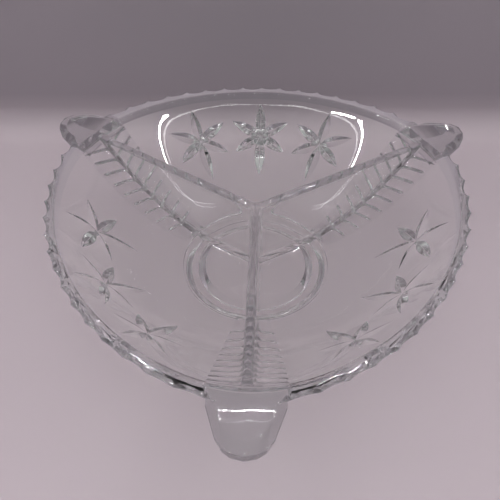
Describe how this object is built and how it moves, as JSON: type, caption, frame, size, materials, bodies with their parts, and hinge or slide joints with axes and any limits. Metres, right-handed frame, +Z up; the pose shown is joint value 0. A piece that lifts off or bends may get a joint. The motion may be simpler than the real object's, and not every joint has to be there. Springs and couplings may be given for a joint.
{
  "type": "divided bowl",
  "caption": "Clear cut-style glass serving bowl on a round foot, split by dividers into compartments, with tab handles at its corners and a notched rim.",
  "frame": {"origin": "on the table, under the middle of the bounding box in plan; the bowl's own axis is 14.8 mm from it along +Y, because the front handle reaches further than the back rim", "axes": "+Z up, -Y towards the front handle, +X to the right of someone facing the front handle"},
  "size_m": [0.2302, 0.2328, 0.056],
  "materials": {
    "clear_glass": "clear, fire-polished, with crisp cut facets"
  },
  "bodies": {
    "root": {"foot_ring": "clear_glass", "bowl_floor": "clear_glass", "divider_hub": "clear_glass", "wall_back": "clear_glass", "wall_left": "clear_glass", "wall_right": "clear_glass", "rim_back": "clear_glass", "rim_left": "clear_glass", "rim_right": "clear_glass", "ribbed_panel_front": "clear_glass", "ribbed_panel_right": "clear_glass", "ribbed_panel_left": "clear_glass", "divider_front": "clear_glass", "divider_right": "clear_glass", "divider_left": "clear_glass", "handle_front": "clear_glass", "handle_right": "clear_glass", "handle_left": "clear_glass"}
  },
  "joints": []
}
